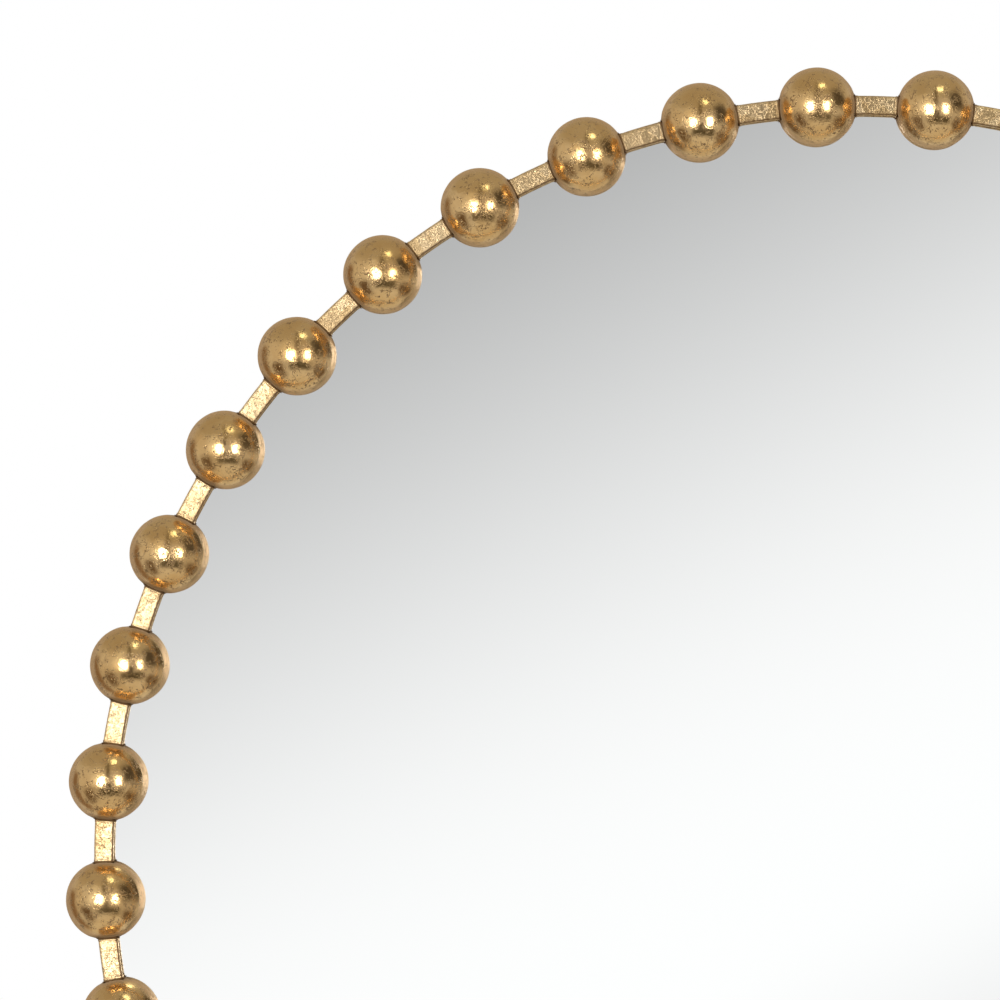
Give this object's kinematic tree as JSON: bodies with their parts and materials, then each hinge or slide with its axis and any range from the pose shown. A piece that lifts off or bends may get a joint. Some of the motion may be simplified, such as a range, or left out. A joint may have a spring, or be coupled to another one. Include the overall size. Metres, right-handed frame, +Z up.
{
  "type": "round wall mirror",
  "caption": "Round flat wall mirror in a hoop of gilded balls threaded on a square bar, with a rear rim, a backing board and D-ring hangers.",
  "frame": {"origin": "on the wall, straight behind the middle of the glass, in the plane of the bumpers' rear faces", "axes": "+Y points into the wall, +Z is up, the glass faces -Y and +X is to the right seen from the front"},
  "size_m": [0.7978, 0.0604, 0.7978],
  "materials": {
    "gilt_ball": "gloss",
    "gilt_bar": "satin",
    "gilt_rim": "satin",
    "silvered_glass": "polished",
    "fibre_board": "matte",
    "zinc_steel": "satin",
    "black_rubber": "matte"
  },
  "bodies": {
    "mirror": {"bead_ring": "gilt_bar", "bead_01": "gilt_ball", "bead_02": "gilt_ball", "bead_03": "gilt_ball", "bead_04": "gilt_ball", "bead_05": "gilt_ball", "bead_06": "gilt_ball", "bead_07": "gilt_ball", "bead_08": "gilt_ball", "bead_09": "gilt_ball", "bead_10": "gilt_ball", "bead_11": "gilt_ball", "bead_12": "gilt_ball", "bead_13": "gilt_ball", "bead_14": "gilt_ball", "bead_15": "gilt_ball", "bead_16": "gilt_ball", "bead_17": "gilt_ball", "bead_18": "gilt_ball", "bead_19": "gilt_ball", "bead_20": "gilt_ball", "bead_21": "gilt_ball", "bead_22": "gilt_ball", "bead_23": "gilt_ball", "bead_24": "gilt_ball", "bead_25": "gilt_ball", "bead_26": "gilt_ball", "bead_27": "gilt_ball", "bead_28": "gilt_ball", "bead_29": "gilt_ball", "bead_30": "gilt_ball", "bead_31": "gilt_ball", "bead_32": "gilt_ball", "bead_33": "gilt_ball", "bead_34": "gilt_ball", "bead_35": "gilt_ball", "bead_36": "gilt_ball", "bead_37": "gilt_ball", "bead_38": "gilt_ball", "bead_39": "gilt_ball", "bead_40": "gilt_ball", "rear_rim": "gilt_rim", "mirror_glass": "silvered_glass", "backing_board": "fibre_board", "board_tab_1": "zinc_steel", "board_tab_2": "zinc_steel", "board_tab_3": "zinc_steel", "board_tab_4": "zinc_steel", "tab_screw_1": "zinc_steel", "tab_screw_2": "zinc_steel", "tab_screw_3": "zinc_steel", "tab_screw_4": "zinc_steel", "hanger_strap_left": "zinc_steel", "hanger_strap_right": "zinc_steel", "strap_screw_left": "zinc_steel", "strap_screw_right": "zinc_steel", "bumper_left": "black_rubber", "bumper_right": "black_rubber"},
    "d_ring_left": {"d_ring_left": "zinc_steel"},
    "d_ring_right": {"d_ring_right": "zinc_steel"}
  },
  "joints": [
    {"name": "d_ring_left_swing", "type": "hinge", "parent": "mirror", "child": "d_ring_left", "pos_m": [-0.2, -0.0047, 0.15], "axis": [1, 0, 0], "range_deg": [0, 180]},
    {"name": "d_ring_right_swing", "type": "hinge", "parent": "mirror", "child": "d_ring_right", "pos_m": [0.2, -0.0047, 0.15], "axis": [1, 0, 0], "range_deg": [0, 180]}
  ]
}
